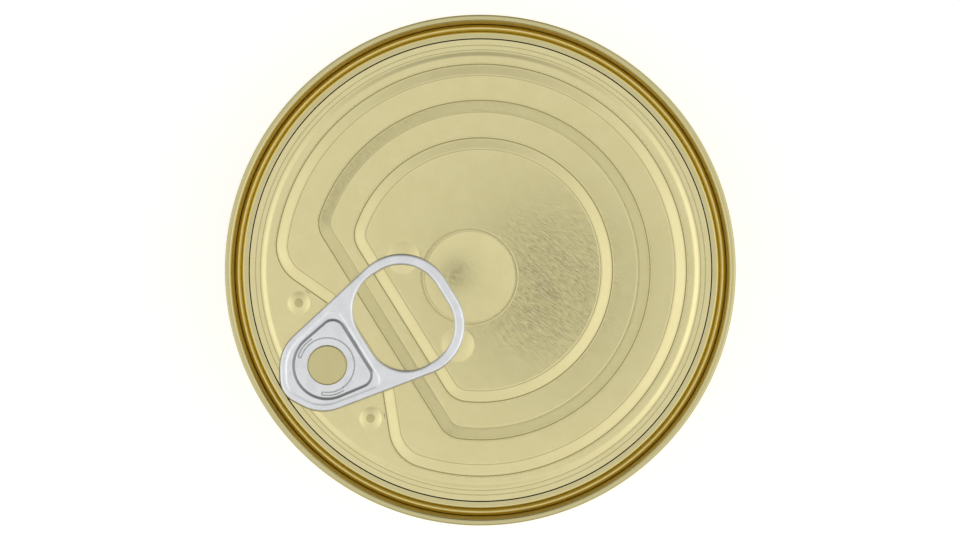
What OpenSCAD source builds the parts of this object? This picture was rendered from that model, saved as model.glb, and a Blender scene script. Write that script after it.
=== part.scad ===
// Shallow round food can with a ring-pull lid.
// The drawn body, the seamed-on lid and the pull tab are one solid each.
// The origin is the middle of the foot, +Z points up through the lid, and the tab lies towards -Y.

/* [Can] */
// Height of the closed can, from the foot to the top of the seam
can_h = 40; // [24:1:70]
// Outside diameter of the body wall
body_d = 84; // [70:0.5:101]
// Thickness of the body wall where the lid plugs into it
wall_t = 0.22; // [0.15:0.01:0.5]

/* [Foot] */
// Distance that the foot steps in from the body wall, so that cans stack
foot_step = 2.4; // [1.5:0.1:4]
// Height of the narrower foot
foot_h = 2.4; // [1:0.1:4]
// Rounding of the two bends between the foot and the body wall
neck_round = 1; // [0.5:0.1:2.4]
// Width of the flat ring that the can stands on
foot_flat = 1.2; // [0.8:0.1:3]
// Radius of the rounded edge under the foot
foot_round = 1; // [0.5:0.1:1.5]
// Height of the bottom panel above the ground, which clears the tab of a can below
bottom_rise = 2.8; // [2.4:0.1:4]
// Distance of the bottom's shallow ring bead from the body wall
bottom_bead_inset = 14; // [12:0.5:20]
// Width of that bead
bottom_bead_w = 4; // [2:0.5:6]
// Depth of that bead
bottom_bead_h = 0.5; // [0.2:0.1:0.8]

/* [Double seam] */
// Distance that the seam stands out from the body wall
seam_out = 1.5; // [0.8:0.1:2.5]
// Height of the seam
seam_h = 3; // [2:0.1:3.6]
// Width of the seam at its top
seam_t = 1.1; // [0.9:0.05:1.6]
// Rounding of the seam's edges
seam_round = 0.42; // [0.2:0.02:0.44]

/* [Lid] */
// Depth of the gutter inside the seam, below the seam's top
gutter_depth = 4.4; // [4:0.1:6]
// Half the width of the gutter's rounded floor
gutter_round = 0.45; // [0.3:0.05:0.6]
// Distance that the wall above the gutter leans in
chuck_lean = 0.7; // [0.3:0.05:1]
// Depth of the panel's outer rim below the seam's top
rim_depth = 2.9; // [2.6:0.05:3.4]
// Rounding of the panel's outer edge
rim_round = 0.48; // [0.3:0.02:0.6]
// Distance of the score line from the edge of the panel
score_inset = 1.3; // [1:0.05:2]
// Width of the score line
score_w = 0.24; // [0.15:0.01:0.4]
// Depth of the score line
score_cut = 0.09; // [0.04:0.01:0.12]
// Distance from the score line in to the ring-shaped step
ring_inset = 2.05; // [1.5:0.05:3]
// Width of the ring-shaped step
ring_w = 1; // [0.6:0.05:1.5]
// Rise of the ring-shaped step
ring_rise = 0.3; // [0.15:0.05:0.4]
// Thickness of the lid under the gutter
lid_t = 0.3; // [0.2:0.05:0.6]

/* [Pressed shapes] */
// Distance from the foot of the ring-shaped step in to the outer raised field
field_inset = 2.4; // [1.8:0.1:4]
// Width of the slope around the outer field
field_w = 1.75; // [1:0.05:2.5]
// Rise of the outer field
field_rise = 0.4; // [0.2:0.05:0.5]
// Distance from the rivet to the middle of the outer field's notch
notch_gap = 5.8; // [5:0.1:7]
// Half the width of the notch's straight middle
notch_half = 8.6; // [6:0.1:10]
// Slope of the notch's two sides, in degrees
notch_angle = 23.2; // [10:0.1:30]
// Rounding of the notch's inner corners
notch_round = 4; // [2:0.5:6]
// Rounding of the outer field's two horns
horn_round = 7; // [4:0.5:9]
// Distance from the edge of the outer field in to the sunken field
sunken_inset = 6.2; // [4:0.1:8]
// Width of the slope around the sunken field
sunken_w = 1.8; // [1:0.05:2.5]
// Drop of the sunken field
sunken_drop = 0.1; // [0.05:0.05:0.4]
// Distance from the rivet to the straight side of the sunken field
sunken_gap = 10.9; // [9:0.1:12]
// Distance from the edge of the sunken field in to the inner raised field
inner_inset = 6.4; // [4:0.1:8]
// Width of the slope around the inner field
inner_w = 1.75; // [1:0.05:2.5]
// Rise of the inner field
inner_rise = 0.35; // [0.15:0.05:0.4]
// Distance from the rivet to the straight side of the inner field
inner_gap = 15; // [13:0.1:17]
// Rounding of the corners of the sunken and the inner field
corner_round = 4.6; // [3.5:0.1:6]
// Radius of the shallow dish under the end of the ring
dish_r = 8; // [6:0.1:9]
// Depth of that dish
dish_depth = 0.3; // [0.1:0.05:0.4]
// Distance from the rivet to the middle of that dish
dish_gap = 28.5; // [26:0.1:30]
// Radius of the two bumps that the ring lies on
rest_r = 2.9; // [2:0.1:3.2]
// Height of those bumps
rest_h = 0.3; // [0.1:0.05:0.35]
// Distance from the rivet to those bumps, along the tab
rest_gap = 20.7; // [19.5:0.1:21.5]
// Distance of those bumps from the middle of the tab
rest_side = 8.8; // [8:0.1:9.5]
// Radius of the two small bumps beside the rivet
stud_r = 2; // [1.5:0.1:2.4]
// Height of the small bumps
stud_h = 0.35; // [0.1:0.05:0.5]
// Distance from the rivet to the small bumps, along the tab
stud_gap = 1.4; // [0:0.1:3]
// Distance of the small bumps from the middle of the tab
stud_side = 11.6; // [11:0.1:13]

/* [Pull tab] */
// Distance from the rivet to the tip of the tab's nose
nose_l = 8.85; // [8:0.05:10]
// Distance from the rivet to the far end of the ring
tab_l = 24.9; // [24.5:0.1:27]
// Half the width of the tab beside the rivet
tab_half = 7.84; // [7.4:0.02:8.4]
// Angle at which each side of the tab widens towards the ring
tab_taper = 11; // [9:0.5:13]
// Slope of the two edges that lead to the tip of the nose
nose_angle = 30; // [25:1:32]
// Rounding of the tip of the nose
nose_round = 4.5; // [3.5:0.1:5]
// Rounding of the nose's shoulders
shoulder_round = 7.5; // [6:0.1:8]
// Rounding of the ring's corners
ring_round = 8.8; // [7:0.1:9.5]
// Width of the curled edge
curl_w = 1.95; // [1.6:0.05:2.3]
// Thickness of the curled edge
curl_t = 1.15; // [0.9:0.05:1.3]
// Rounding of the curled edge
curl_round = 0.48; // [0.3:0.02:0.55]
// Thickness of the flat sheet between the curls
web_t = 0.5; // [0.3:0.05:0.6]
// Distance of the flat sheet's top below the top of the curls
web_drop = 0.15; // [0.1:0.05:0.5]
// Distance from the rivet to the near side of the finger hole
hole_gap = 7.66; // [7.2:0.1:9]
// Half the width of the finger hole
hole_half = 8.92; // [8:0.1:9.5]
// Rounding of the finger hole's corners
hole_round = 7; // [5:0.1:7.5]
// Half the width of the pressed groove's base, around the rivet
groove_half = 6.7; // [6:0.1:7]
// Distance from the rivet to the groove's base
groove_gap = 5.8; // [5.4:0.1:6]
// Taper of the groove's two sides, in degrees
groove_taper = 9; // [5:0.5:10]
// Rounding of the groove at the nose
groove_nose = 5.7; // [5.5:0.1:5.8]
// Rounding of the groove's two corners
groove_round = 2; // [1:0.1:2.4]
// Width of the groove
groove_w = 0.5; // [0.3:0.05:0.7]
// Depth of the groove
groove_cut = 0.2; // [0.1:0.05:0.25]
// Radius of the C-shaped slit around the rivet
slit_r = 4.65; // [4.4:0.05:4.7]
// Width of the slit
slit_w = 0.16; // [0.1:0.02:0.2]
// Angle between the nose and each end of the slit
slit_gap = 50; // [40:1:60]
// Width of the slit's two wider ends
slot_w = 0.5; // [0.3:0.05:0.6]
// Angle that each wider end spans
slot_span = 40; // [20:1:45]

/* [Rivet] */
// Radius of the rivet's head
head_r = 3.4; // [3:0.05:3.8]
// Thickness of the rivet's head
head_t = 0.34; // [0.2:0.02:0.4]
// Rounding of the head's edge
head_round = 0.22; // [0.1:0.02:0.3]
// Radius of the rivet's stem
stem_r = 2.2; // [1.8:0.05:2.6]
// Gap between the stem and the hole in the tab
stem_clearance = 0.1; // [0.05:0.05:0.3]
// Radius of the raised seat under the rivet
seat_r = 4.1; // [3.5:0.1:4.3]
// Gap between the curled edge and the bumps below it
tab_clearance = 0.05; // [0.02:0.01:0.3]

/* [Hidden] */
$fn = 96;

GOLD = "#c9b878";
SILVER = "#c8cad0";

// What one solid reaches into the next where they are fused.
bite = 0.6;
// Degrees between the points along a bend.
bend_step = 6;

body_r = body_d / 2;
plug_r = body_r - wall_t;
seam_r = body_r + seam_out;

// Radii on the lid, from the seam inwards.
chuck_top_r = seam_r - seam_t;
chuck_foot_r = chuck_top_r - chuck_lean;
panel_r = chuck_foot_r - 2 * gutter_round;
score_r = panel_r - score_inset;
ring_r = score_r - ring_inset;
field_r = ring_r - field_inset;
sunken_r = field_r - sunken_inset;
inner_r = sunken_r - inner_inset;

// Heights on the lid, from the gutter up to the inner field.
gutter_z = can_h - gutter_depth;
plug_z = gutter_z - lid_t;
seam_z = can_h - seam_h;
rim_z = can_h - rim_depth;
panel_z = rim_z + ring_rise;
field_z = panel_z + field_rise;
sunken_z = field_z - sunken_drop;
inner_z = sunken_z + inner_rise;

// The tab lies just above the bumps, and its nose ends over the score line.
rivet_y = nose_l - score_r;
curl_z = inner_z + rest_h + tab_clearance;
web_z = curl_z + curl_t - web_drop - web_t;
head_z = web_z + web_t;

// Directions and paths.
function dir(a) = [cos(a), sin(a)];
function heading(v) = atan2(v[1], v[0]);
function turning(a, b) = (b - a + 540) % 360 - 180;
function arc_points(c, r, a0, a1, steps) = [for (k = [0 : steps]) c + r * dir(a0 + (a1 - a0) * k / steps)];

// A path runs anticlockwise. It is a list of bends [centre, radius, first angle, last angle],
// each joined to the next by a straight line.

// The bend that rounds one corner of a polygon.
function corner_bend(before, at, after, r) =
    let (h = heading(at - before), t = turning(h, heading(after - at)), side = sign(t))
    let (start = at - r * tan(abs(t) / 2) * dir(h), a = h - 90 * side)
    [start + r * side * dir(h + 90), r, a, a + t];

// A polygon with rounded corners.
function rounded(points, radii) = let (n = len(points)) [for (k = [0 : n - 1])
    corner_bend(points[(k + n - 1) % n], points[k], points[(k + 1) % n], radii[k])];

// Points along a path, moved out by a distance: each bend has one for every few degrees that it turns.
function path_points(path, out) = [for (s = path) each arc_points(
    s[0], s[1] + out * sign(s[3] - s[2]), s[2], s[3], ceil(abs(s[3] - s[2]) / bend_step))];

// A block inside a path, between two heights.
module fill(path, out, z0, z1) {
    translate([0, 0, z0])
        linear_extrude(z1 - z0)
            polygon(path_points(path, out));
}

// A circle with one straight side towards the rivet and two rounded corners.
function d_path(r, side_y, f) =
    let (cy = side_y + f, cx = sqrt((r - f) * (r - f) - cy * cy), a = atan2(cy, cx))
    [
        [[0, 0], r, a, 180 - a],
        [[-cx, cy], f, 180 - a, 270],
        [[cx, cy], f, -90, a]
    ];

// The outer field: a circle with a notch around the rivet, between two rounded horns.
function field_path(r, mid_y, half, slope, inner_f, f) =
    let (n = dir(-90 - slope), t = dir(-slope), reach = [half, mid_y] * n - f)
    let (c = reach * n + sqrt((r - f) * (r - f) - reach * reach) * t, a = heading(c))
    let (run = inner_f * tan(slope / 2))
    [
        [[0, 0], r, a, 180 - a],
        [[-c[0], c[1]], f, 180 - a, 270 + slope],
        [[run - half, mid_y - inner_f], inner_f, 90 + slope, 90],
        [[half - run, mid_y - inner_f], inner_f, 90, 90 - slope],
        [c, f, -90 - slope, a]
    ];

// A block whose side follows a path. Its section is a list of [distance out, height], from the foot up.
module loft(path, section) {
    rings = [for (p = section) [for (q = path_points(path, p[0])) [q[0], q[1], p[1]]]];
    n = len(rings[0]);
    top = (len(rings) - 1) * n;
    polyhedron(
        points = [for (ring = rings) each ring],
        faces = concat(
            [[for (k = [0 : n - 1]) k]],
            [[for (k = [n - 1 : -1 : 0]) top + k]],
            [for (foot = [0 : n : top - 1], k = [0 : n - 1])
                let (next = (k + 1) % n)
                [foot + k, foot + n + k, foot + n + next, foot + next]]
        )
    );
}

// A field raised above the sheet at height z, with a slope of width w around it.
module raised(path, w, rise, z) {
    loft(path, [[bite, z - bite * rise / w], [-w, z + rise]]);
}

// The space above a field sunk below the sheet at height z.
module sunken(path, w, drop, z) {
    loft(path, [[-w, z - drop], [bite, z + bite * drop / w]]);
}

// A round bump of radius r and height h.
module bump(at, r, h, z) {
    ball = (r * r + h * h) / (2 * h);
    translate([at[0], at[1], z + h - ball])
        rotate_extrude()
            intersection() {
                circle(ball);
                translate([0, ball - h - bite])
                    square([r, h + bite]);
            }
}

// The body: a drawn cup with its contents, one solid up to the lid.
module can_body() {
    foot_r = body_r - foot_step;
    flat_r = foot_r - foot_round;
    bottom_r = flat_r - foot_flat - bottom_rise;
    bead_r = body_r - bottom_bead_inset;
    neck_z = foot_h + foot_step - 2 * neck_round * (1 - cos(45) - sin(45));
    color(GOLD)
        rotate_extrude()
            polygon(concat(
                [
                    [0, bottom_rise],
                    [bead_r - bottom_bead_w, bottom_rise],
                    [bead_r - 0.7 * bottom_bead_w, bottom_rise - bottom_bead_h],
                    [bead_r - 0.3 * bottom_bead_w, bottom_rise - bottom_bead_h],
                    [bead_r, bottom_rise],
                    [bottom_r, bottom_rise],
                    [flat_r - foot_flat, 0]
                ],
                arc_points([flat_r, foot_round], foot_round, -90, 0, 6),
                arc_points([foot_r + neck_round, foot_h], neck_round, 180, 135, 3),
                arc_points([body_r - neck_round, neck_z], neck_round, -45, 0, 3),
                [
                    [body_r, seam_z],
                    [plug_r, seam_z],
                    [plug_r, plug_z],
                    [0, plug_z]
                ]
            ));
}

// The turned shape of the lid: seam, gutter, rim with the score line, and the step up to the panel.
module end_blank() {
    gutter_r = chuck_foot_r - gutter_round;
    rotate_extrude()
        polygon(concat(
            [
                [0, plug_z],
                [plug_r, plug_z],
                [plug_r, seam_z]
            ],
            arc_points([seam_r - seam_round, seam_z + seam_round], seam_round, -90, 0, 4),
            arc_points([seam_r - seam_round, can_h - seam_round], seam_round, 0, 90, 6),
            arc_points([chuck_top_r + seam_round, can_h - seam_round], seam_round, 90, 180, 6),
            arc_points([gutter_r, gutter_z + gutter_round], gutter_round, 0, -180, 10),
            arc_points([panel_r - rim_round, rim_z - rim_round], rim_round, 0, 90, 6),
            [
                [score_r + score_w / 2, rim_z],
                [score_r, rim_z - score_cut],
                [score_r - score_w / 2, rim_z],
                [ring_r, rim_z],
                [ring_r - ring_w, panel_z],
                [0, panel_z]
            ]
        ));
}

// The rivet, drawn up from the panel through the tab and headed over it.
module rivet() {
    rotate_extrude()
        polygon(concat(
            [
                [0, panel_z - bite],
                [seat_r + (web_z - panel_z) / 2, panel_z - bite],
                [seat_r + (web_z - panel_z) / 2, panel_z],
                [seat_r, web_z],
                [stem_r, web_z],
                [stem_r, head_z],
                [head_r, head_z]
            ],
            arc_points([head_r - head_round, head_z + head_t - head_round], head_round, 0, 90, 5),
            [[0, head_z + head_t]]
        ));
}

// The lid, with its seam, its pressed fields and its rivet.
module can_end() {
    field = field_path(
        field_r,
        rivet_y + notch_gap,
        notch_half,
        notch_angle,
        notch_round,
        horn_round
    );
    color(GOLD)
        difference() {
            union() {
                difference() {
                    union() {
                        end_blank();
                        raised(field, field_w, field_rise, panel_z);
                    }
                    sunken(d_path(sunken_r, rivet_y + sunken_gap, corner_round), sunken_w, sunken_drop, field_z);
                }
                raised(d_path(inner_r, rivet_y + inner_gap, corner_round), inner_w, inner_rise, sunken_z);
                for (side = [-1, 1]) {
                    bump([side * rest_side, rivet_y + rest_gap], rest_r, rest_h, inner_z);
                    bump([side * stud_side, rivet_y + stud_gap], stud_r, stud_h, panel_z);
                }
                translate([0, rivet_y, 0])
                    rivet();
            }
            dish();
        }
}

// The ball that presses the shallow dish under the end of the ring.
module dish() {
    ball = (dish_r * dish_r + dish_depth * dish_depth) / (2 * dish_depth);
    translate([0, rivet_y + dish_gap, inner_z - dish_depth + ball])
        sphere(ball);
}

// The outline of the tab, with the rivet's axis at the origin.
function tab_path() =
    let (tip_y = -nose_l - nose_round * (1 / cos(nose_angle) - 1))
    let (slope = tan(tab_taper), rise = tan(nose_angle))
    let (side_x = (tab_half + slope * tip_y) / (1 - slope * rise), side_y = tip_y + rise * side_x)
    let (end_x = tab_half + slope * tab_l)
    rounded(
        [[0, tip_y], [side_x, side_y], [end_x, tab_l], [-end_x, tab_l], [-side_x, side_y]],
        [nose_round, shoulder_round, ring_round, ring_round, shoulder_round]
    );

// The outline of the finger hole.
function hole_path() =
    let (far = tab_l - curl_w)
    rounded(
        [[-hole_half, hole_gap], [hole_half, hole_gap], [hole_half, far], [-hole_half, far]],
        [hole_round, hole_round, hole_round, hole_round]
    );

// The middle line of the pressed groove around the rivet.
function groove_path() =
    let (slope = tan(groove_taper))
    rounded(
        [[0, groove_gap - groove_half / slope], [groove_half, groove_gap], [-groove_half, groove_gap]],
        [groove_nose, groove_round, groove_round]
    );

// A curved slot around the rivet, cut right through the sheet.
module slit(r, w, first, last) {
    rotate_extrude(angle = last - first, start = first)
        translate([r - w / 2, web_z - bite])
            square([w, web_t + 2 * bite]);
}

// A plate as thick as the curls, rounded at its outer edge and around the finger hole.
module curled_plate(outline, hole) {
    r = curl_round;
    top = curl_z + curl_t;
    difference() {
        loft(outline, concat(
            arc_points([-r, curl_z + r], r, -90, 0, 3),
            arc_points([-r, top - r], r, 0, 90, 3)
        ));
        loft(hole, concat(
            [[r, curl_z - bite]],
            arc_points([r, curl_z + r], r, -105, -180, 2),
            arc_points([r, top - r], r, 180, 105, 2),
            [[r, top + bite]]
        ));
    }
}

// The space between the curls of the edge and of the finger hole, above or below the flat sheet.
module tab_pocket(outline, hole, z0, z1) {
    difference() {
        fill(outline, -curl_w, z0, z1);
        fill(hole, curl_w, z0 - bite, z1 + bite);
    }
}

// The pull tab: a sheet with curled edges, a finger hole and a tongue around the rivet.
module pull_tab() {
    outline = tab_path();
    hole = hole_path();
    first = slit_gap - 90;
    last = 270 - slit_gap;
    color(SILVER)
        translate([0, rivet_y, 0])
            difference() {
                curled_plate(outline, hole);
                tab_pocket(outline, hole, curl_z - bite, web_z);
                tab_pocket(outline, hole, web_z + web_t, curl_z + curl_t + bite);
                cylinder(h = can_h * 2, r = stem_r + stem_clearance);
                difference() {
                    fill(groove_path(), groove_w / 2, web_z + web_t - groove_cut, web_z + web_t + bite);
                    fill(groove_path(), -groove_w / 2, web_z, web_z + web_t + 2 * bite);
                }
                slit(slit_r, slit_w, first, last);
                slit(slit_r + slot_w / 2, slot_w, first, first + slot_span);
                slit(slit_r + slot_w / 2, slot_w, last - slot_span, last);
            }
}

can_body();
can_end();
pull_tab();
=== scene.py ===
# %% [markdown]
# # A ring-pull food can, gold lacquered, seen from above
#
# The can has three pieces: a drawn cup, a lid rolled onto it, and a riveted pull tab.
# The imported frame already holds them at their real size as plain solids.
# Here each one is modelled again with soft bends, fine creases and a real metal finish.
# Every size is in millimetres until it reaches a Blender call, which wants metres.

# %% Load the frame and read its sizes
from math import atan2, ceil, cos, degrees, hypot, pi, radians, sin, sqrt, tan

import bmesh
import bpy
from mathutils import Matrix, Vector
from mathutils.kdtree import KDTree


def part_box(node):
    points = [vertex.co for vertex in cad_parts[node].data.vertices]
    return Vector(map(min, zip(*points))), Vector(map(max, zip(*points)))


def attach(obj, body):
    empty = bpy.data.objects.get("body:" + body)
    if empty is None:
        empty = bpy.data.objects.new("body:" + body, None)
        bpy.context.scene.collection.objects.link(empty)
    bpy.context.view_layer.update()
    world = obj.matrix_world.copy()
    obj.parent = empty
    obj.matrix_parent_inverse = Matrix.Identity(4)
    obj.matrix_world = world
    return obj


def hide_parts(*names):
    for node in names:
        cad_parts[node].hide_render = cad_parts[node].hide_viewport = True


MM = 0.001

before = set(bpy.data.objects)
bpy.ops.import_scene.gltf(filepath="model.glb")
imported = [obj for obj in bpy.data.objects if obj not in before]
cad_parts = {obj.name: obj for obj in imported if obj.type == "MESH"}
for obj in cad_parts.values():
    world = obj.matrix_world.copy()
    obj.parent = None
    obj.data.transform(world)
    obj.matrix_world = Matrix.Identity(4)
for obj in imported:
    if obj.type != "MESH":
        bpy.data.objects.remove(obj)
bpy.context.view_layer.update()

body_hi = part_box("can_body")[1]
lid_lo, lid_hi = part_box("can_end")
tab_lo, tab_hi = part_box("pull_tab")

can_h = round(lid_hi.z / MM, 2)
plug_z = round(lid_lo.z / MM, 2)
seam_r = round(lid_hi.x / MM, 2)
body_r = round(body_hi.x / MM, 2)
curl_z = round(tab_lo.z / MM, 2)
curl_top = round(tab_hi.z / MM, 2)
print("can", 2 * seam_r, "mm across,", can_h, "mm high; tab from", curl_z, "to", curl_top)

# %% [markdown]
# ## Drawing with a pen
#
# Almost every shape on a lid is a closed line that a press tool has followed:
# arcs joined by straight runs. Such a line could come from bezier curves, but a pen
# made of one vertex is simpler to control: `spin` draws an arc and `extrude` a straight run.
# Spin turns clockwise about an axis that points up, so the axis here points down.

# %% Pick up and put down


def point(x, y, z=0.0):
    """A place given in millimetres, in metres."""
    return Vector((x, y, z)) * MM


def deselect():
    """Leaves edit mode and lets go of every object."""
    if bpy.context.object and bpy.context.object.mode == "EDIT":
        bpy.ops.object.mode_set(mode="OBJECT")
    bpy.ops.object.select_all(action="DESELECT")


def only(piece):
    """Makes one object the selected and active one."""
    deselect()
    piece.select_set(True)
    bpy.context.view_layer.objects.active = piece


# %% A pen that draws outlines
STEP_ANGLE = 6
STEP_LENGTH = 1.1
SAME = 0.002 * MM


def new_pen(name, start):
    """A new object in edit mode that holds one selected vertex at start."""
    deselect()
    bpy.ops.mesh.primitive_plane_add(size=MM, location=start)
    bpy.ops.object.transform_apply(location=True)
    piece = bpy.context.object
    piece.name = name
    bpy.ops.object.mode_set(mode="EDIT")
    bpy.ops.mesh.select_mode(type="VERT")
    bpy.ops.mesh.select_all(action="SELECT")
    bpy.ops.mesh.merge(type="CENTER")
    return piece


def draw_to(here, there):
    """Draws a straight run."""
    bpy.ops.mesh.extrude_region_move(TRANSFORM_OT_translate={"value": there - here})


def on_circle(centre, radius, angle, z):
    """The place on a circle at an angle in degrees."""
    a = radians(angle)
    return point(centre[0] + radius * cos(a), centre[1] + radius * sin(a), z)


def draw_outline(name, bends, out, z):
    """A closed line of bends (centre, radius, first angle, last angle), moved out by a distance."""
    here = None
    for centre, radius, first, last in bends:
        turned = last - first
        r = radius + out * (1 if turned > 0 else -1)
        start = on_circle(centre, r, first, z)
        if here is None:
            piece = new_pen(name, start)
        else:
            draw_to(here, start)
        length = radians(abs(turned)) * radius
        steps = max(ceil(abs(turned) / STEP_ANGLE), ceil(length / STEP_LENGTH))
        bpy.ops.mesh.spin(
            steps=steps,
            angle=radians(abs(turned)),
            center=point(*centre, z),
            axis=(0, 0, -1 if turned > 0 else 1),
        )
        here = on_circle(centre, r, last, z)
    bpy.ops.mesh.select_all(action="SELECT")
    bpy.ops.mesh.remove_doubles(threshold=SAME)
    bpy.ops.mesh.edge_face_add()
    return piece


# %% [markdown]
# ## Pressing and turning
#
# Two moves make the rest. A *pressed* shape starts as the filled outline and is inset again
# and again, each time a little further in and up or down, so that its side gets any profile.
# A *turned* shape is a profile drawn by the pen and spun round an axis, as on a lathe.
# Displacing a fine grid would do the same with far more faces and softer creases.
# Each shape is left open, and the flat sheet between the shapes is filled in afterwards.
# Each face also notes a number from 0 to 1 that picks painted shade, darker in creases, crevices
# and on faces that mirror something dark, and how dull the face is. The finishes read that note
# later.
# A profile gives it as the third number of a point, for the strip that ends there.

# %% Press and turn
ROUND_STEPS = 288


def mesh_in_edit():
    """The active object's mesh, open for selecting."""
    return bmesh.from_edit_mesh(bpy.context.object.data)


def note_shade_wear(piece, profile, strip_of):
    """Notes on each face the painted shade and wear that the profile gives for its strip, or 0."""
    shade_wear = [p[2] if len(p) > 2 else 0.0 for p in profile[1:]]
    noted = piece.data.attributes.new("worn", "FLOAT", "FACE")
    for face in piece.data.polygons:
        noted.data[face.index].value = shade_wear[strip_of(face)]


def press(name, bends, profile):
    """A pressed shape: profile lists (distance out, height) from its outermost edge inwards."""
    out, z = profile[0]
    piece = draw_outline(name, bends, out, z)
    mesh = mesh_in_edit()
    mesh.normal_update()
    if next(iter(mesh.faces)).normal.z < 0:
        bpy.ops.mesh.flip_normals()
    for next_out, next_z, *_ in profile[1:]:
        bpy.ops.mesh.inset(thickness=(out - next_out) * MM, depth=(next_z - z) * MM)
        out, z = next_out, next_z
    bpy.ops.mesh.delete(type="ONLY_FACE")
    deselect()
    around = len(piece.data.polygons) // (len(profile) - 1)
    note_shade_wear(piece, profile, lambda face: face.index // around)
    return piece


def turn(name, profile, centre=(0, 0), steps=ROUND_STEPS):
    """A turned shape: profile lists (radius, height)."""
    places = [point(centre[0] + r, centre[1], z) for r, z, *_ in profile]
    piece = new_pen(name, places[0])
    for here, there in zip(places, places[1:]):
        draw_to(here, there)
    bpy.ops.mesh.select_all(action="SELECT")
    bpy.ops.mesh.spin(steps=steps, angle=2 * pi, center=point(*centre), axis=(0, 0, 1))
    bpy.ops.mesh.select_all(action="SELECT")
    bpy.ops.mesh.remove_doubles(threshold=SAME)
    deselect()
    middles = KDTree(len(profile) - 1)
    for k, (here, there) in enumerate(zip(places, places[1:])):
        middles.insert(((here.x + there.x) / 2 - centre[0] * MM, 0, (here.z + there.z) / 2), k)
    middles.balance()
    axis = point(*centre)

    def strip_of(face):
        """The number of the strip whose middle is nearest to the face's."""
        corners = [piece.data.vertices[k].co - axis for k in face.vertices]
        radii = [hypot(c.x, c.y) for c in corners]
        heights = [c.z for c in corners]
        middle = ((min(radii) + max(radii)) / 2, 0, (min(heights) + max(heights)) / 2)
        return middles.find(middle)[1]

    note_shade_wear(piece, profile, strip_of)
    return piece


# %% Join, fill and close
SMOOTH_BELOW = 40


def join(name, pieces):
    """Joins several pieces into one with welded edges."""
    only(pieces[0])
    for piece in pieces:
        piece.select_set(True)
    bpy.ops.object.join()
    piece = bpy.context.object
    piece.name = name
    bpy.ops.object.mode_set(mode="EDIT")
    bpy.ops.mesh.select_all(action="SELECT")
    bpy.ops.mesh.remove_doubles(threshold=SAME)
    deselect()
    return piece


def select_open_edges(piece, z):
    """Opens a piece and selects its open edges at one height."""
    only(piece)
    bpy.ops.object.mode_set(mode="EDIT")
    bpy.ops.mesh.select_mode(type="EDGE")
    bpy.ops.mesh.select_all(action="DESELECT")
    for edge in mesh_in_edit().edges:
        if edge.is_boundary and all(abs(v.co.z - z * MM) < SAME for v in edge.verts):
            edge.select = True
    bmesh.update_edit_mesh(piece.data)


def fill_sheet(piece, z):
    """Fills the flat sheet between all the open edges at one height."""
    select_open_edges(piece, z)
    before = len(mesh_in_edit().faces)
    bpy.ops.mesh.fill()
    print(piece.name, "sheet at", round(z, 3), "takes", len(mesh_in_edit().faces) - before, "faces")
    deselect()


def close_top(piece, z):
    """Closes the small hole that is left in the middle of a bump."""
    select_open_edges(piece, z)
    bpy.ops.mesh.edge_face_add()
    bpy.ops.mesh.poke()
    deselect()
    return piece


def finish_shell(piece):
    """Turns every face outwards and smooths all but the sharp bends."""
    only(piece)
    bpy.ops.object.mode_set(mode="EDIT")
    bpy.ops.mesh.select_all(action="SELECT")
    bpy.ops.mesh.normals_make_consistent(inside=False)
    open_edges = sum(1 for e in mesh_in_edit().edges if not e.is_manifold)
    only(piece)
    bpy.ops.object.shade_smooth_by_angle(angle=radians(SMOOTH_BELOW))
    print(piece.name, "has", len(piece.data.polygons), "faces and", open_edges, "open edges")
    deselect()


# %% Curves for profiles
def arc(centre_r, centre_z, radius, first, last, steps):
    """Points of a rounded corner in a profile, with the angles in degrees."""
    angles = [radians(first + (last - first) * k / steps) for k in range(steps + 1)]
    return [(centre_r + radius * cos(a), centre_z + radius * sin(a)) for a in angles]


def eased(first, last, steps, ease=0.5):
    """Points of a soft step between two places; ease is the share of it that is rounded."""
    (r0, z0), (r1, z1) = first, last
    points = []
    for k in range(steps + 1):
        t = k / steps
        if t < ease / 2:
            rise = t * t / ease
        elif t > 1 - ease / 2:
            rise = 1 - ease / 2 - (1 - t) ** 2 / ease
        else:
            rise = t - ease / 4
        points.append((r0 + (r1 - r0) * t, z0 + (z1 - z0) * rise / (1 - ease / 2)))
    return points


# %% [markdown]
# ## The body
#
# The cup is drawn from one disc of tinplate. Its wall stands plainly, with a bend where
# the foot steps in so that cans stack, and a shallow bead stiffens the bottom.
# A lathe profile gives all of it in one piece. The can is shut, so the profile runs
# straight across under the lid and nothing inside is made.

# %% Turn the body
wall_t = 0.1
foot_step = 2.4
foot_h = 2.4
neck_round = 1.0
foot_round = 1.0
foot_flat = 1.2
bottom_rise = 2.8
bottom_round = 0.5
seam_h = 3.0
bead_inset = 14
bead_w = 4
bead_slope = 1.6
bead_depth = 0.5

seam_z = can_h - seam_h
plug_r = body_r - wall_t
foot_r = body_r - foot_step
flat_r = foot_r - foot_round
bottom_r = flat_r - foot_flat - bottom_rise
neck_z = foot_h + foot_step - 2 * neck_round * (1 - cos(radians(45)) - sin(radians(45)))
bead_out = body_r - bead_inset
bead_in = bead_out - bead_w
bead_z = bottom_rise - bead_depth
corner = bottom_round * tan(radians(22.5))

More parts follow.
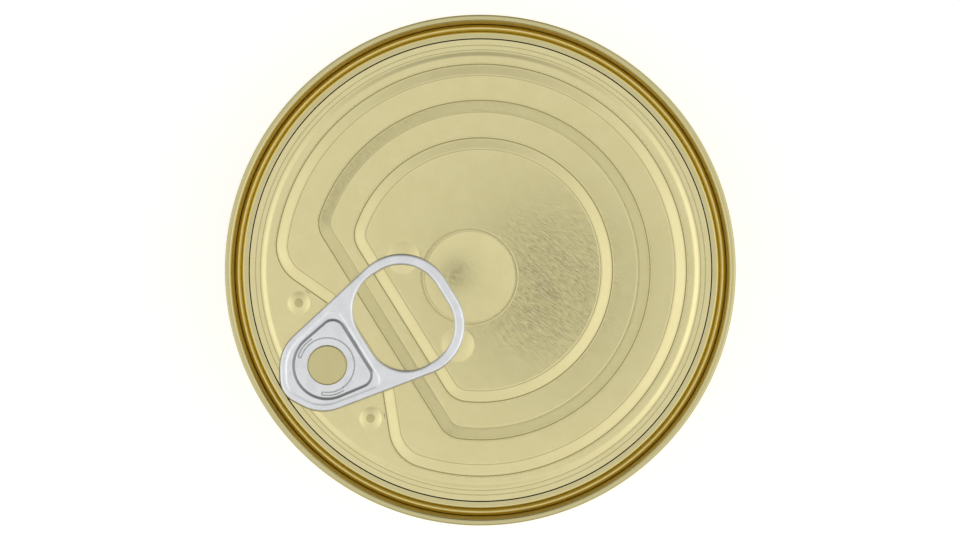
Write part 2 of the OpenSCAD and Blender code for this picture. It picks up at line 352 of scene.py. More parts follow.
body_profile = (
    [(0, bottom_rise)]
    + eased((bead_in, bottom_rise), (bead_in + bead_slope, bead_z), steps=8, ease=1.0)
    + eased((bead_out - bead_slope, bead_z), (bead_out, bottom_rise), steps=8, ease=1.0)
    + arc(bottom_r - corner, bottom_rise - bottom_round, bottom_round, 90, 45, steps=4)
    + arc(flat_r - foot_flat + corner, bottom_round, bottom_round, 225, 270, steps=4)
    + arc(flat_r, foot_round, foot_round, -90, 0, steps=10)
    + arc(foot_r + neck_round, foot_h, neck_round, 180, 135, steps=5)
    + arc(body_r - neck_round, neck_z, neck_round, -45, 0, steps=5)
    + [(body_r, seam_z), (plug_r, seam_z), (plug_r, plug_z), (0, plug_z)]
)
body = turn("can_shell", body_profile)
finish_shell(body)

# %% [markdown]
# ## The lid, from the seam to the step
#
# A seaming machine folds the lid's edge over the cup's and presses both flat: that is the rounded
# ring at the top. Inside it a steep wall drops into a narrow gutter. The panel then starts
# with a rounded rim, a fine score line where the lid will tear, and a ring-shaped step.
# All of this is round, so it is one lathe profile too. Narrow flat strips beside the bends
# guard the wide flats, whose shading would otherwise be bent by smoothing.

# %% Sizes of the outer lid
seam_t = 1.1
seam_round = 0.42
gutter_depth = 4.4
gutter_round = 0.5
chuck_lean = 0.55
rim_depth = 2.9
rim_round = 0.48
score_inset = 1.35
score_w = 0.22
score_cut = 0.09
mark_inset = 1.1
mark_half = 0.09
mark_cut = 0.012
ring_inset = 2.05
ring_w = 1.0
ring_rise = 0.3
ring_line_out = 0.15
ring_line_half = 0.08
ring_line_cut = 0.015

chuck_top_r = seam_r - seam_t
chuck_foot_r = chuck_top_r - chuck_lean
gutter_r = chuck_foot_r - gutter_round
gutter_z = can_h - gutter_depth
panel_r = chuck_foot_r - 2 * gutter_round
score_r = panel_r - score_inset
ring_r = score_r - ring_inset
rim_z = can_h - rim_depth
panel_z = rim_z + ring_rise
ring_in = ring_r - ring_w
print("gutter at radius", round(gutter_r, 2), "score line at", round(score_r, 2), "mm")

# %% Creases, painted shade and wear
guard = 0.25
line_guard = 0.05
crease_w = 0.11
crease_d = 0.03
# How much painted shade and dulling each kind of face gets. The rivet's top is really a little
# duller.
BAND_SHADE_WEAR = 0.05
SEAM_SHADE_WEAR = 0.1
RIVET_WEAR = 0.1
FAINT_SHADE_WEAR = 0.16
LINE_SHADE_WEAR = 0.3
GUTTER_TONE = 0.5
WALL_SHADE_WEAR = 0.6
SCORE_SHADE_WEAR = 1.0


def crease(out, z, width=crease_w, depth=crease_d, shade_wear=LINE_SHADE_WEAR):
    """The fine line where a press tool's edge bit into the sheet, darkened by painted shade."""
    return [(out + width, z), (out, z - depth, shade_wear), (out - width, z, shade_wear)]


def scored(out, z, width, depth, shade_wear):
    """A crease with narrow flats beside it, which keep its shading to itself."""
    line = crease(out, z, width, depth, shade_wear)
    return [(out + width + line_guard, z)] + line + [(out - width - line_guard, z)]


def worn(points, shade_wear):
    """The same points, each with a painted shade and wear."""
    return [(r, z, shade_wear) for r, z, *_ in points]


# %% Turn the outer lid
crown_angle = 70
wall_angle = 54


def seam_arc(centre_r, first, last, steps, shade_wear):
    """A stretch of the seam's rounded top, darkened by painted shade."""
    return worn(arc(centre_r, can_h - seam_round, seam_round, first, last, steps), shade_wear)


def gutter_arc(first, last, steps, shade_wear):
    """A stretch of the gutter's round bottom: its walls get painted shade, its bottom a deeper gold.
    """
    return worn(arc(gutter_r, gutter_z + gutter_round, gutter_round, first, last, steps), shade_wear)


# The score line's cut is painted near black: painted shade.
score_line = scored(score_r, rim_z, score_w / 2, score_cut, SCORE_SHADE_WEAR)
lid_profile = (
    [(0, plug_z), (plug_r, plug_z), (plug_r, seam_z)]
    + arc(seam_r - seam_round, seam_z + seam_round, seam_round, -90, 0, steps=6)
    # The seam's top is painted a little darker, with a darker line along its crown: painted shade.
    + seam_arc(seam_r - seam_round, 0, crown_angle, 9, SEAM_SHADE_WEAR)
    + seam_arc(seam_r - seam_round, crown_angle, 90, 3, FAINT_SHADE_WEAR)
    + seam_arc(chuck_top_r + seam_round, 90, 180, 12, SEAM_SHADE_WEAR)
    # The chuck wall and the gutter's inner wall are painted dark gold: painted shade.
    + gutter_arc(0, -wall_angle, 5, WALL_SHADE_WEAR)
    + gutter_arc(-wall_angle, wall_angle - 180, 8, GUTTER_TONE)[1:]
    + gutter_arc(wall_angle - 180, -180, 5, WALL_SHADE_WEAR)[1:]
    + arc(panel_r - rim_round, rim_z - rim_round, rim_round, 0, 90, steps=12)
    + worn(score_line[:1], SEAM_SHADE_WEAR)
    + score_line[1:]
    + scored(score_r - mark_inset, rim_z, mark_half, mark_cut, FAINT_SHADE_WEAR)
    + scored(ring_r + ring_line_out, rim_z, ring_line_half, ring_line_cut, FAINT_SHADE_WEAR)
    + eased((ring_r, rim_z), (ring_in, panel_z), steps=12, ease=0.5)
    + [(ring_in - guard, panel_z)]
)
lid_ring = turn("lid_ring", lid_profile)
print("outer lid:", len(lid_profile), "points in its profile, panel at", round(panel_z, 2), "mm")

# %% [markdown]
# ## The pressed fields
#
# Three fields are pressed into the panel, one inside the other: the outer one is raised
# and leaves a notch for the rivet, the next is sunk a little, the middle one is raised again.
# Each outline is a circle cut off by a straight side, with rounded corners, so a
# short formula gives its bends. The slope has a fine crease at its foot, where the die bit,
# and an even grade above, so that it catches one tone of light all along.

# %% Sizes of the fields
rivet_y = -30.65
field_r = ring_r - 2.4
field_w = 1.75
field_rise = 0.4
notch_y = rivet_y + 5.8
notch_half = 8.6
notch_slope = 23.2
notch_round = 4.0
horn_round = 7.0
sunken_r = field_r - 6.2
sunken_w = 1.8
sunken_drop = 0.1
sunken_y = rivet_y + 10.9
middle_r = sunken_r - 6.4
middle_w = 1.75
middle_rise = 0.35
middle_y = rivet_y + 15
corner_round = 4.6

field_z = panel_z + field_rise
sunken_z = field_z - sunken_drop
middle_z = sunken_z + middle_rise
print("fields at", round(field_z, 2), round(sunken_z, 2), round(middle_z, 2), "mm")

# %% Outlines of the fields
def circle_path(x, y, r):
    """A full circle."""
    return [((x, y), r, 0, 360)]


def flat_sided_path(r, side_y, f):
    """A circle with one straight side and two rounded corners."""
    cy = side_y + f
    cx = sqrt((r - f) ** 2 - cy**2)
    a = degrees(atan2(cy, cx))
    return [((0, 0), r, a, 180 - a), ((-cx, cy), f, 180 - a, 270), ((cx, cy), f, -90, a)]


def notched_path(r, mid_y, half, slope, inner_f, f):
    """A circle with a notch around the rivet, between two rounded horns."""
    s = radians(slope)
    reach = -half * sin(s) - mid_y * cos(s) - f
    along = sqrt((r - f) ** 2 - reach**2)
    cx = -reach * sin(s) + along * cos(s)
    cy = -reach * cos(s) - along * sin(s)
    a = degrees(atan2(cy, cx))
    run = inner_f * tan(s / 2)
    return [
        ((0, 0), r, a, 180 - a),
        ((-cx, cy), f, 180 - a, 270 + slope),
        ((run - half, mid_y - inner_f), inner_f, 90 + slope, 90),
        ((half - run, mid_y - inner_f), inner_f, 90, 90 - slope),
        ((cx, cy), f, -90 - slope, a),
    ]


# %% Slopes, bumps and hollows
SLOPE_STEPS = 12
slope_ease = 0.25
top_line_out = 0.1
top_line_half = 0.07
top_line_cut = 0.01
dish_line_cut = 0.012


def slope_profile(width, low, high, shade_wear=0.0):
    """A slope from its outer edge inwards, with flat guard strips for clean shading."""
    return (
        [(guard + 2 * crease_w, low)]
        + crease(crease_w, low)
        + worn(eased((0, low), (-width, high), SLOPE_STEPS, slope_ease)[1:], shade_wear)
        + crease(-width - top_line_out, high, top_line_half, top_line_cut, FAINT_SHADE_WEAR)
        + [(-width - top_line_out - top_line_half - guard, high)]
    )


def bump_profile(radius, height, z, painted_dark_top_from=1.0, steps=16):
    """A bump like a slice of a ball on a small rounded foot, up to a small hole at its top. From a
    given share of its radius inwards, its top is painted darker: a painted reflection of something
    dark above.
    """
    foot = 0.2
    points = [(foot + guard, z)]
    for k in range(steps + 1):
        t = k / (steps + 1)
        rise = t * t / foot if t < foot else 2 * t - foot
        top = (2 * t - t * t - foot) / (1 - foot)
        height_here = z + height * max(min(rise, 1) * t, top)
        points.append((foot * (1 - t) - radius * t, height_here, FAINT_SHADE_WEAR if t > painted_dark_top_from else 0.0))
    return points


def dish_profile(radius, depth, z, steps=16):
    """A hollow like a slice of a ball, with a crisp edge."""
    points = [(guard + 2 * crease_w, z)] + crease(crease_w, z, depth=dish_line_cut, shade_wear=FAINT_SHADE_WEAR)
    for k in range(1, steps):
        t = k / steps
        points.append((-radius * t, z - depth * (1 - (1 - t) ** 2)))
    return points


# %% Press the fields
field = press(
    "field",
    notched_path(field_r, notch_y, notch_half, notch_slope, notch_round, horn_round),
    slope_profile(field_w, panel_z, field_z),
)
# The sunken field's slope is painted a little darker all along: painted shade.
sunken = press(
    "sunken",
    flat_sided_path(sunken_r, sunken_y, corner_round),
    slope_profile(sunken_w, field_z, sunken_z, BAND_SHADE_WEAR),
)
middle = press(
    "middle",
    flat_sided_path(middle_r, middle_y, corner_round),
    slope_profile(middle_w, sunken_z, middle_z),
)
print("three fields pressed:", [len(p.data.polygons) for p in (field, sunken, middle)], "faces")

# %% [markdown]
# ## Bumps, dish and rivet
#
# Two bumps hold the end of the ring off the lid, two small ones keep the tab from turning,
# and a shallow dish below the ring's end leaves room for a finger tip. The rivet is drawn
# up out of the same sheet, so it belongs to the lid's mesh and not to the tab's.

# %% Press the round shapes
dish_r = 8.0
dish_depth = 0.3
dish_y = rivet_y + 28.5
rest_r = 2.9
rest_h = 0.3
rest_x = 8.8
rest_y = rivet_y + 20.7
stud_r = 2.0
stud_h = 0.35
stud_x = 11.6
stud_y = rivet_y + 1.4


def press_round(name, x, y, radius, profile):
    """A bump or a dish, closed at its middle."""
    piece = press(name, circle_path(x, y, radius), profile)
    return close_top(piece, profile[-1][1])


dish = press_round("dish", 0, dish_y, dish_r, dish_profile(dish_r, dish_depth, middle_z))
rest_profile = bump_profile(rest_r, rest_h, middle_z)
# The studs' tops are painted darker: a painted reflection of something dark above.
stud_profile = bump_profile(stud_r, stud_h, panel_z, 0.7)
rests = [press_round("rest", s * rest_x, rest_y, rest_r, rest_profile) for s in (-1, 1)]
studs = [press_round("stud", s * stud_x, stud_y, stud_r, stud_profile) for s in (-1, 1)]
print("a dish,", len(rests), "rests and", len(studs), "studs pressed")

# %% Turn the rivet
web_t = 0.5
web_drop = 0.15
seat_r = 4.1
stem_r = 2.2
head_r = 3.4
head_t = 0.34
head_round = 0.22
under_round = 0.08
foot_out = 0.3

web_top = curl_top - web_drop
web_z = web_top - web_t
seat_foot = seat_r + (web_z - panel_z) / 2 + foot_out
head_top = web_top + head_t

# Painted shade on the rivet: near black under the head's rim and a dark line on its rounded edge. Its
# flat top is really a little duller and darker.
rivet_profile = (
    [(seat_foot + guard, panel_z)]
    + eased((seat_foot, panel_z), (seat_r - foot_out, web_z), steps=10, ease=0.6)
    + [(stem_r, web_z), (stem_r, web_top)]
    + worn(arc(head_r - under_round, web_top + under_round, under_round, -90, 0, steps=3), SCORE_SHADE_WEAR)
    + worn(arc(head_r - head_round, head_top - head_round, head_round, 0, 90, steps=6), LINE_SHADE_WEAR)
    + [(head_r - head_round - line_guard, head_top, RIVET_WEAR), (0, head_top, RIVET_WEAR)]
)
rivet = turn("rivet", rivet_profile, (0, rivet_y), steps=128)
print("rivet head", 2 * head_r, "mm across, its top at", round(head_top, 2), "mm")

# %% [markdown]
# ## Joining the lid
#
# The shapes stand at their places with open edges. Now they become one mesh, and the
# flat sheet at each height is filled between all the open edges there. Because each shape
# ends in a narrow flat strip, the big flat faces keep an exactly upright normal.

# %% Join the lid and fill its sheets
lid = join("lid", [lid_ring, field, sunken, middle, dish, rivet] + rests + studs)
for sheet_z in (panel_z, field_z, sunken_z, middle_z):
    fill_sheet(lid, sheet_z)
finish_shell(lid)

# %% [markdown]
# ## The pull tab
#
# The tab starts as a strip of aluminium whose edges are curled under into a stiff roll.
# Between the rolls, around the rivet, the sheet is a little lower. A pressed groove in the shape
# of a rounded triangle frames the rivet, and a fine C-shaped slit with two hooked ends
# frees a tongue, on which the tab hinges when it is lifted.
# Its outlines are polygons with rounded corners, and its edges are pressed from both sides.

# %% Sizes of the tab
nose_l = tab_lo.y / -MM + rivet_y
tab_l = tab_hi.y / MM - rivet_y
tab_half = 7.84
taper = 11
nose_angle = 30
nose_round = 4.5
shoulder_round = 7.5
ring_round = 8.8
curl_w = 1.95
hole_gap = 7.66
hole_half = 8.92
hole_round = 7.0
groove_half = 6.7
groove_gap = 5.8
groove_taper = 9
groove_nose = 5.7
groove_round = 2.0
print("tab", round(nose_l + tab_l, 2), "mm long")

# %% Corners and bends
def heading(a, b):
    """The direction from one place to another, in degrees."""
    return degrees(atan2(b[1] - a[1], b[0] - a[0]))


def rounded_path(corners, radii):
    """The bends of a polygon with rounded corners, which are measured from the rivet."""
    bends = []
    for k, radius in enumerate(radii):
        before, at, after = (corners[(k + j) % len(corners)] for j in (-1, 0, 1))
        along = heading(before, at)
        turned = (heading(at, after) - along + 540) % 360 - 180
        side = 1 if turned > 0 else -1
        first = along - 90 * side
        run = radius * tan(radians(abs(turned) / 2))
        ahead, across = radians(along), radians(along + 90 * side)
        x = at[0] - run * cos(ahead) + radius * cos(across)
        y = at[1] - run * sin(ahead) + radius * sin(across)
        bends.append(((x, y + rivet_y), radius, first, first + turned))
    return bends


def tab_corners(margin, far):
    """The tab's unrounded outline, moved in by a margin and cut off far from the rivet."""
    flare, rise = tan(radians(taper)), tan(radians(nose_angle))
    half = tab_half - margin / cos(radians(taper))
    lead = nose_round * (1 / cos(radians(nose_angle)) - 1)
    tip_y = margin / cos(radians(nose_angle)) - nose_l - lead
    side_x = (half + flare * tip_y) / (1 - flare * rise)
    side_y = tip_y + rise * side_x
    end_x = half + flare * far
    return [(0, tip_y), (side_x, side_y), (end_x, far), (-end_x, far), (-side_x, side_y)]


# %% Outlines of the tab
tab_outline = rounded_path(
    tab_corners(0, tab_l), [nose_round, shoulder_round, ring_round, ring_round, shoulder_round]
)
hole_far = tab_l - curl_w
hole_outline = rounded_path(
    [(-hole_half, hole_gap), (hole_half, hole_gap), (hole_half, hole_far), (-hole_half, hole_far)],
    [hole_round] * 4,
)
groove_tip = groove_gap - groove_half / tan(radians(groove_taper))
groove_outline = rounded_path(
    [(0, groove_tip), (groove_half, groove_gap), (-groove_half, groove_gap)],
    [groove_nose, groove_round, groove_round],
)
print("its outline has", len(tab_outline), "bends, its finger hole", len(hole_outline))

# %% Press the rolled edges
roll_w = 0.62
roll_steps = 9
pocket_in = 0.95
pocket_w = 0.55
pocket_round = 1.8
tip_guard = 0.04
roll_mid = (curl_z + curl_top) / 2
roll_half = (curl_top - curl_z) / 2


def roll_profile(side):
    """A quarter of a rolled edge, from its tip in to its flat; side is 1 above, -1 below."""
    angles = [radians(90 * k / roll_steps) for k in range(roll_steps + 1)]
    return [(roll_w * (cos(a) - 1), roll_mid + side * roll_half * sin(a)) for a in angles]


def edge_profile(side):
    """A rolled outer edge and the narrow flat beside it."""
    return roll_profile(side) + [(-roll_w - tip_guard, roll_mid + side * roll_half)]


def hole_profile(side):
    """The same edge around a hole, from the flat in to the edge."""
    return [(-out, z) for out, z in reversed(edge_profile(side))]


pocket_outline = rounded_path(
    tab_corners(pocket_in, hole_gap - pocket_in),
    [
        nose_round - pocket_in,
        shoulder_round - pocket_in,
        pocket_round,
        pocket_round,
        shoulder_round - pocket_in,
    ],
)


def pocket_profile(rim, web):
    """The soft step from the rolls to the thinner sheet between them."""
    step = eased((0, rim), (-pocket_w, web), steps=8, ease=1.0)
    return [(tip_guard, rim)] + step + [(-pocket_w - tip_guard, web)]


tab_parts = []
for level_side, rim, web in ((1, curl_top, web_top), (-1, curl_z, web_z)):
    tab_parts.append(press("edge", tab_outline, edge_profile(level_side)))
    tab_parts.append(press("hole_edge", hole_outline, hole_profile(level_side)))
    tab_parts.append(press("pocket", pocket_outline, pocket_profile(rim, web)))
print(len(tab_parts), "strips of the tab pressed, its web", web_t, "mm thick")

# %% Press the groove
groove_w = 0.5
groove_cut = 0.16
groove_guard_out = 0.15
groove_guard_in = 0.1

groove_half_w = groove_w / 2
groove_floor = web_top - groove_cut
# The groove's walls are painted dark grey: painted shade.
groove_out = press(
    "groove_out",
    groove_outline,
    [
        (groove_half_w + groove_guard_out, web_top),
        (groove_half_w, web_top),
        (0, groove_floor, LINE_SHADE_WEAR),
    ],
)
groove_in = press(
    "groove_in",
    groove_outline,
    [
        (0, groove_floor),
        (-groove_half_w, web_top, LINE_SHADE_WEAR),
        (-groove_half_w - groove_guard_in, web_top),
    ],
)
print("groove", groove_w, "mm wide and", groove_cut, "mm deep")

# %% Press the slit
slit_r = 4.65
slit_w = 0.2
slit_cut = 0.2
slit_guard = 0.03
slit_taper = 0.4
slot_w = 0.5
slit_gap = 50
slot_span = 42


def slit_path():
    """The slit's line and back: a long arc about the rivet with a hook at each end."""
    centre = (0, rivet_y)
    mid_r, outer_r = slit_r + slot_w / 2, slit_r + slot_w
    first, last = slit_gap - 90, 270 - slit_gap
    ends = []
    for angle in (first, last):
        a = radians(angle)
        ends.append((mid_r * cos(a), rivet_y + mid_r * sin(a)))
    there = [
        (centre, outer_r, first + slot_span, first),
        (ends[0], slot_w / 2, first, first - 180),
        (centre, slit_r, first, last),
        (ends[1], slot_w / 2, last + 180, last),
        (centre, outer_r, last, last - slot_span),
    ]
    back = [(c, r, b, a) for c, r, a, b in reversed(there)]
    return there + back


slit_out = slit_w / 2
# The slit's cut is painted near black: painted shade.
slit = press(
    "slit",
    slit_path(),
    [
        (slit_out + slit_guard, web_top),
        (slit_out, web_top),
        (slit_out * slit_taper, web_top - slit_cut, SCORE_SHADE_WEAR),
    ],
)
fill_sheet(slit, web_top - slit_cut)

# %% Join the tab and fill its sheets
hole_clearance = 0.1
rivet_hole = turn(
    "rivet_hole",
    [(stem_r + hole_clearance, web_top), (stem_r + hole_clearance, web_z)],
    (0, rivet_y),
    steps=96,
)
tongue = join("tongue", [groove_in, slit, rivet_hole])
fill_sheet(tongue, web_top)
sheet = join("sheet", tab_parts + [groove_out])
fill_sheet(sheet, web_top)
tab = join("tab", [sheet, tongue])
for level in (curl_top, curl_z, web_z):
    fill_sheet(tab, level)
finish_shell(tab)

# %% [markdown]
# ## Shader maths as sums
#
# A metal finish is a few numbers that vary over the surface: how rough it is, how its
# tiny ridges run, how deep its tint is. Wiring such sums by hand takes dozens of nodes,
# so a small class wraps a socket and lets Python's own signs add the Math nodes.

# %% A socket that can be calculated with
class Wire:
    """An output socket of a material under way."""

    def __init__(self, finish, socket):
        self.finish = finish
        self.socket = socket

    def maths(self, operation, *values):
        """Adds one Math node."""
        return self.finish.node("ShaderNodeMath", {"operation": operation}, dict(enumerate(values)))

    def __add__(self, other):
        return self.maths("ADD", self, other)

    def __radd__(self, other):
        return self.maths("ADD", other, self)

    def __sub__(self, other):
        return self.maths("SUBTRACT", self, other)

    def __rsub__(self, other):
        return self.maths("SUBTRACT", other, self)

    def __mul__(self, other):
        return self.maths("MULTIPLY", self, other)

    def __rmul__(self, other):
        return self.maths("MULTIPLY", other, self)

    def above(self, low, high):
        """0 below low, 1 above high, and a soft rise between."""
        return self.finish.node(
            "ShaderNodeMapRange",
            {"interpolation_type": "SMOOTHSTEP"},
            {"Value": self, "From Min": low, "From Max": high},
        )


# %% The nodes of a finish
class Finish:
    """The nodes of one material or of the world, and the one way to add to them."""

    def __init__(self, owner):
        owner.use_nodes = True
        self.nodes = owner.node_tree.nodes
        self.links = owner.node_tree.links
        self.nodes.clear()

    def node(self, kind, settings=None, values=None, out=0):
        """Adds a node: its settings first, then numbers or links for its sockets."""
        made = self.nodes.new(kind)
        for key, value in (settings or {}).items():
            if key == "stops":
                self.set_stops(made.color_ramp, value)
            else:
                setattr(made, key, value)
        for key, value in (values or {}).items():
            socket = made.inputs[key]
            if isinstance(value, Wire):
                self.links.new(value.socket, socket)
            else:
                socket.default_value = value
        return Wire(self, made.outputs[out]) if made.outputs else None

    @staticmethod
    def set_stops(ramp, stops):
        """Gives a colour ramp its stops."""
        while len(ramp.elements) < len(stops):
            ramp.elements.new(0.5)
        for element, (position, colour) in zip(ramp.elements, stops):
            element.position = position
            element.color = colour

    def blend(self, share, first, second):
        """A mix of two colours."""
        settings = {"data_type": "RGBA"}
        return self.node("ShaderNodeMix", settings, {0: share, 6: first, 7: second}, 2)

    def place(self, turn=0.0, stretch=(1, 1, 1)):
        """A place on the piece in metres, turned about the can's axis and stretched."""
        here = self.node("ShaderNodeTexCoord", out=3)
        values = {"Vector": here, "Rotation": (0, 0, turn), "Scale": stretch}
        return self.node("ShaderNodeMapping", {"vector_type": "TEXTURE"}, values)

    def shade_wear(self):
        """How much painted shade and wear a face has, from 0 to 1."""
        settings = {"attribute_type": "GEOMETRY", "attribute_name": "worn"}
        return self.node("ShaderNodeAttribute", settings, out=2)

    def by_shade_wear(self, stops):
        """A colour with painted shade, picked by how much painted shade and wear a face has."""
        return self.node("ShaderNodeValToRGB", {"stops": stops}, {0: self.shade_wear()})

    def noise(self, place, size, detail=2.0, roughness=0.5):
        """Soft noise whose patches are about a size in metres."""
        values = {"Vector": place, "Scale": 1 / size, "Detail": detail, "Roughness": roughness}
        return self.node("ShaderNodeTexNoise", {}, values)

    def bump(self, height):
        """The normal that a height in metres gives."""
        return self.node("ShaderNodeBump", {}, {"Strength": 1.0, "Distance": 1.0, "Height": height})

    def show(self, values):
        """Shows a surface with these numbers or links on the shader's sockets."""
        shader = self.node("ShaderNodeBsdfPrincipled", {}, values)
        self.node("ShaderNodeOutputMaterial", {}, {"Surface": shader})


# %% [markdown]
# ## Gold lacquer on tinplate
#
# The lid is tinplate under a clear yellow lacquer. Light goes through the lacquer, off the
# metal and out again, so the finish is a metal with a gold tint and not a paint. The strip
# was rolled before it was pressed: fine ridges run one way across every part of the lid.
# They show only where the lid mirrors something dark. A bump gives them, and how dull the
# metal is follows the same ridges. Low swells keep the large flats from looking like glass.
# Creases, crevices, seam, chuck wall, one slope and the studs' tops get painted shade, which each
# face's note picks; the gutter gets a deeper gold.

# %% Make the lacquer
GRAIN_TURN = radians(21)
FINE_SIZE = 0.16 * MM
FINE_STRETCH = (7, 1, 1)
LINE_SIZE = 0.13 * MM
LINE_STRETCH = (25, 1, 1)
LINE_SHARE = 0.25
SWELL_SIZE = 14 * MM
MOTTLE_SIZE = 3 * MM
WEAR_DULLS = 0.35
GRAIN_DULLS = 0.06
MOTTLE_DULLS = 0.05
# Painted shade in crease lines: a darker gold.
CREASE_SHADE_GOLD = (0.40, 0.35, 0.15, 1)
GUTTER_GOLD = (0.88, 0.76, 0.33, 1)
# Painted shade on the steep gutter walls: a dark gold.
WALL_SHADE_GOLD = (0.66, 0.49, 0.06, 1)
# Painted shade in crevices such as the score line, the slit and under the rivet's head: near black.
PAINTED_CREVICE_SHADE = (0.04, 0.03, 0.02, 1)


def gold_lacquer(name, tint, deep_tint, roughness, grain_height, swell_height=0.03, coat=0.1):
    """Gold lacquered tinplate with a rolled grain; the heights are in millimetres."""
    material = bpy.data.materials.new(name)
    finish = Finish(material)
    here = finish.place()
    fine = finish.noise(finish.place(GRAIN_TURN, FINE_STRETCH), FINE_SIZE, detail=3, roughness=0.6)
    lines = finish.noise(finish.place(GRAIN_TURN, LINE_STRETCH), LINE_SIZE, detail=2, roughness=0.6)
    swell = finish.noise(here, SWELL_SIZE, detail=1)
    mottle = finish.noise(here, MOTTLE_SIZE, detail=3, roughness=0.6)
    grain = (1 - LINE_SHARE) * fine + LINE_SHARE * lines
    height = grain * (grain_height * MM) + swell * (swell_height * MM)
    patches = mottle.above(0.3, 0.7) * 0.5 + 0.25 * fine
    # Painted shade: each face's note picks a darker gold for creases, dark gold for the chuck wall
    # and near black for crevices; the gutter's bottom takes a deeper gold.
    painted_shades = [
        (LINE_SHADE_WEAR, CREASE_SHADE_GOLD),
        (GUTTER_TONE, GUTTER_GOLD),
        (WALL_SHADE_WEAR, WALL_SHADE_GOLD),
        (SCORE_SHADE_WEAR, PAINTED_CREVICE_SHADE),
    ]
    first = finish.by_shade_wear([(0, tint)] + painted_shades)
    second = finish.by_shade_wear([(0, deep_tint)] + painted_shades)
    colour = finish.blend(patches, first, second)
    rubbed = WEAR_DULLS * finish.shade_wear()
    streaks = GRAIN_DULLS * grain.above(0.42, 0.6)
    finish.show(
        {
            "Base Color": colour,
            "Metallic": 1.0,
            "Roughness": roughness + rubbed + streaks + MOTTLE_DULLS * (mottle - 0.5),
            "Coat Weight": coat,
            "Coat Roughness": 0.12,
            "Normal": finish.bump(height),
        }
    )
    print(name, "is made of", len(finish.nodes), "nodes")
    return material


lid_gold = gold_lacquer(
    "gold_lacquer_lid", (0.84, 0.755, 0.41, 1), (0.80, 0.71, 0.36, 1), 0.135, 0.0028
)
body_gold = gold_lacquer(
    "gold_lacquer_body", (0.80, 0.70, 0.36, 1), (0.76, 0.65, 0.31, 1), 0.3, 0.0018
)

# %% [markdown]
# ## Bare aluminium
#
# The tab is not lacquered. Handling leaves it satin, with short fine scratches. They could be
# painted one by one, but noise stretched along three directions is enough to scatter them.

# %% Make the tab's metal
TOOTH_SIZE = 0.12 * MM
TOOTH_DEPTH = 0.012 * MM
CLOUD_SIZE = 2.5 * MM
CLOUD_DEPTH = 0.02 * MM
CLOUD_DULLS = 0.1
SCRATCH_SIZE = 0.3 * MM
SCRATCH_DEPTH = 0.008 * MM
SCRATCH_DULLS = 0.06
SCRATCH_STRETCH = (30, 1, 1)
SCRATCH_TURNS = (12, 71, 133)
# Painted shade in the tab's groove: a dark grey.
GROOVE_SHADE_GREY = (0.31, 0.32, 0.32, 1)


def satin_aluminium(name, tint, dull_tint, roughness):
    """Bare aluminium, satin, with short fine scratches."""
    material = bpy.data.materials.new(name)
    finish = Finish(material)
    here = finish.place()
    tooth = finish.noise(here, TOOTH_SIZE, detail=3, roughness=0.7)
    cloud = finish.noise(here, CLOUD_SIZE, detail=3, roughness=0.6)
    scratches = 0
    for turn_by in SCRATCH_TURNS:
        along = finish.place(radians(turn_by), SCRATCH_STRETCH)
        scratches = scratches + finish.noise(along, SCRATCH_SIZE, detail=1).above(0.68, 0.74)
    height = tooth * TOOTH_DEPTH - scratches * SCRATCH_DEPTH + cloud * CLOUD_DEPTH
    # Painted shade: dark grey in the groove, near black in the slit.
    painted_shades = [(LINE_SHADE_WEAR, GROOVE_SHADE_GREY), (SCORE_SHADE_WEAR, PAINTED_CREVICE_SHADE)]
    first = finish.by_shade_wear([(0, tint)] + painted_shades)
    second = finish.by_shade_wear([(0, dull_tint)] + painted_shades)
    finish.show(
        {
            "Base Color": finish.blend(cloud.above(0.35, 0.7), first, second),
            "Metallic": 1.0,
            "Roughness": roughness + CLOUD_DULLS * (cloud - 0.5) + SCRATCH_DULLS * scratches,
            "Normal": finish.bump(height),
        }
    )
    print(name, "is made of", len(finish.nodes), "nodes")
    return material


tab_metal = satin_aluminium("satin_aluminium", (0.86, 0.87, 0.88, 1), (0.79, 0.8, 0.81, 1), 0.3)

# %% Put the finishes on
for piece, material, node, slot in (
    (body, body_gold, "can_body", "lacquered_body"),
    (lid, lid_gold, "can_end", "lacquered_lid"),
    (tab, tab_metal, "pull_tab", "tab_metal"),
):
    piece.data.materials.clear()
    piece.data.materials.append(material)
    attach(piece, "root")
    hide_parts(node)
    print(piece.name, "stands for", node, "in", material.name)

# %% [markdown]
# ## Floor, light and camera
#
# Metal shows its surroundings, so the light is the larger half of a metal's look. The can stands in
# a light tent: a dome that is brightest to its left and right and fades towards the
# floor, painted on the world with sums on its direction. Lamps would give hard glints instead.
# The white paper gives off a little light around the can, as if lit from below. A dark card just
# behind the camera is what the lid mirrors near its middle. The camera looks down from almost
# straight above, turned so that the tab points to the lower left.

# %% Set the floor
FLOOR_SIZE = 4000 * MM
PAPER_GLOW = 0.42
POOL_INNER = 90 * MM
POOL_OUTER = 280 * MM
POOL_LIT = (1, 1, 1, 1)
POOL_UNLIT = (0.12, 0.12, 0.12, 1)
deselect()
bpy.ops.mesh.primitive_plane_add(size=FLOOR_SIZE)
floor = bpy.context.object
floor.name = "floor"
paper = bpy.data.materials.new("white_paper")
paper_finish = Finish(paper)
from_can = paper_finish.node(
    "ShaderNodeVectorMath", {"operation": "LENGTH"}, {0: paper_finish.place()}, 1
)
pool = paper_finish.blend(from_can.above(POOL_INNER, POOL_OUTER), POOL_LIT, POOL_UNLIT)
paper_finish.show(
    {
        "Base Color": (0.9, 0.9, 0.9, 1),
        "Roughness": 0.9,
        "Emission Color": pool,
        "Emission Strength": PAPER_GLOW,
    }
)
floor.data.materials.append(paper)
print("floor", FLOOR_SIZE, "m across, in", paper.name)

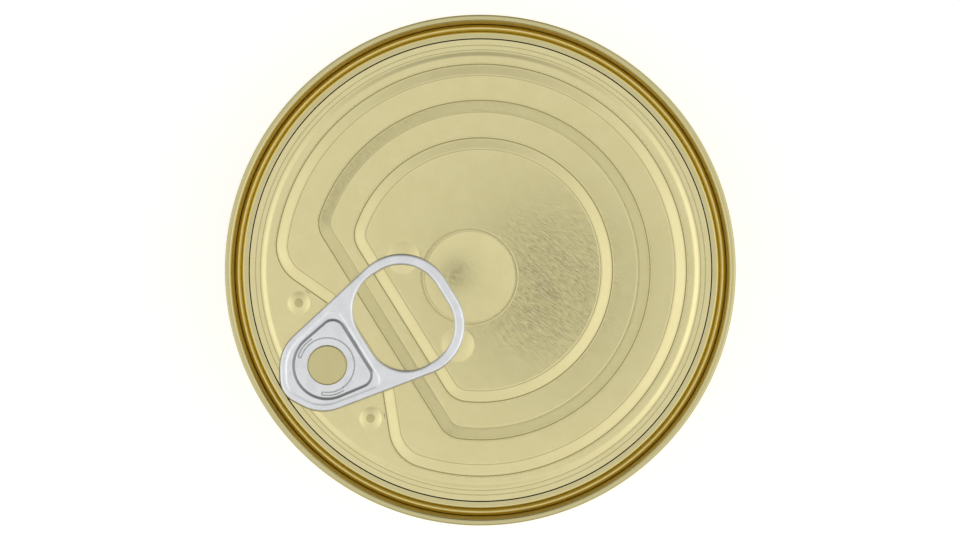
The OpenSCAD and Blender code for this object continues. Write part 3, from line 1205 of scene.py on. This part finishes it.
# %% Set the camera
LENS = 150
SENSOR = 36
VIEW_TURN = radians(58.1)
VIEW_WIDTH = 163.2 * MM
SHIFT_RIGHT = 11 * MM
SHIFT_DOWN = 2.6 * MM
right = Vector((cos(VIEW_TURN), sin(VIEW_TURN), 0))
up = Vector((-sin(VIEW_TURN), cos(VIEW_TURN), 0))
aim = Vector((0, 0, can_h * MM))
distance = VIEW_WIDTH * LENS / SENSOR
stand = aim + right * SHIFT_RIGHT - up * SHIFT_DOWN + Vector((0, 0, distance))

back = (stand - aim).normalized()
camera_x = up.cross(back).normalized()
camera_data = bpy.data.cameras.new("camera")
camera_data.lens = LENS
camera_data.sensor_width = SENSOR
camera = bpy.data.objects.new("camera", camera_data)
turned_axes = Matrix((camera_x, back.cross(camera_x), back)).transposed().to_4x4()
camera.matrix_world = Matrix.Translation(stand) @ turned_axes
bpy.context.scene.collection.objects.link(camera)
bpy.context.scene.camera = camera
print("camera", round(distance, 3), "m above the seam")

# %% Hang the dark card behind the camera
CARD_R = 25 * MM
CARD_GAP = 10 * MM
deselect()
card_place = stand + Vector((0, 0, CARD_GAP))
bpy.ops.mesh.primitive_circle_add(vertices=48, radius=CARD_R, fill_type="NGON", location=card_place)
card = bpy.context.object
card.name = "dark_card"
black = bpy.data.materials.new("black_card")
Finish(black).show({"Base Color": (0.02, 0.02, 0.02, 1), "Roughness": 1.0})
card.data.materials.append(black)
card.visible_camera = False
card.visible_diffuse = False
card.visible_shadow = False
print("card", 2 * CARD_R, "m across, behind the camera")

# %% Paint the light tent
world = bpy.data.worlds.new("light_tent")
bpy.context.scene.world = world
tent = Finish(world)
look = tent.node("ShaderNodeTexCoord", out=0)


def toward(axis):
    """How far a direction of the world points along an axis, from -1 to 1."""
    return tent.node("ShaderNodeVectorMath", {"operation": "DOT_PRODUCT"}, {0: look, 1: axis}, 1)


ZENITH = 0.81
HORIZON = 0.42
DOME_FOOT = 0.15
DOME_TOP = 0.78
RIGHT_GAIN = 0.11
SIDES_GAIN = 1.0
AHEAD_LOSS = 0.23
ENDS_LOSS = 0.39
across = toward(right)
ahead = toward(up)
height_share = toward(Vector((0, 0, 1)))
glow = 1 + RIGHT_GAIN * across + SIDES_GAIN * across * across
glow = glow - AHEAD_LOSS * ahead - ENDS_LOSS * ahead * ahead
dome = height_share.above(DOME_FOOT, DOME_TOP)
light = glow * (HORIZON + (1 - HORIZON) * dome) * ZENITH
backdrop = tent.node("ShaderNodeBackground", {}, {"Color": (1, 1, 1, 1), "Strength": light})
tent.node("ShaderNodeOutputWorld", {}, {"Surface": backdrop})
bpy.context.scene.view_settings.view_transform = "Standard"
bpy.context.scene.view_settings.look = "None"
print("light tent painted with", len(tent.nodes), "nodes")
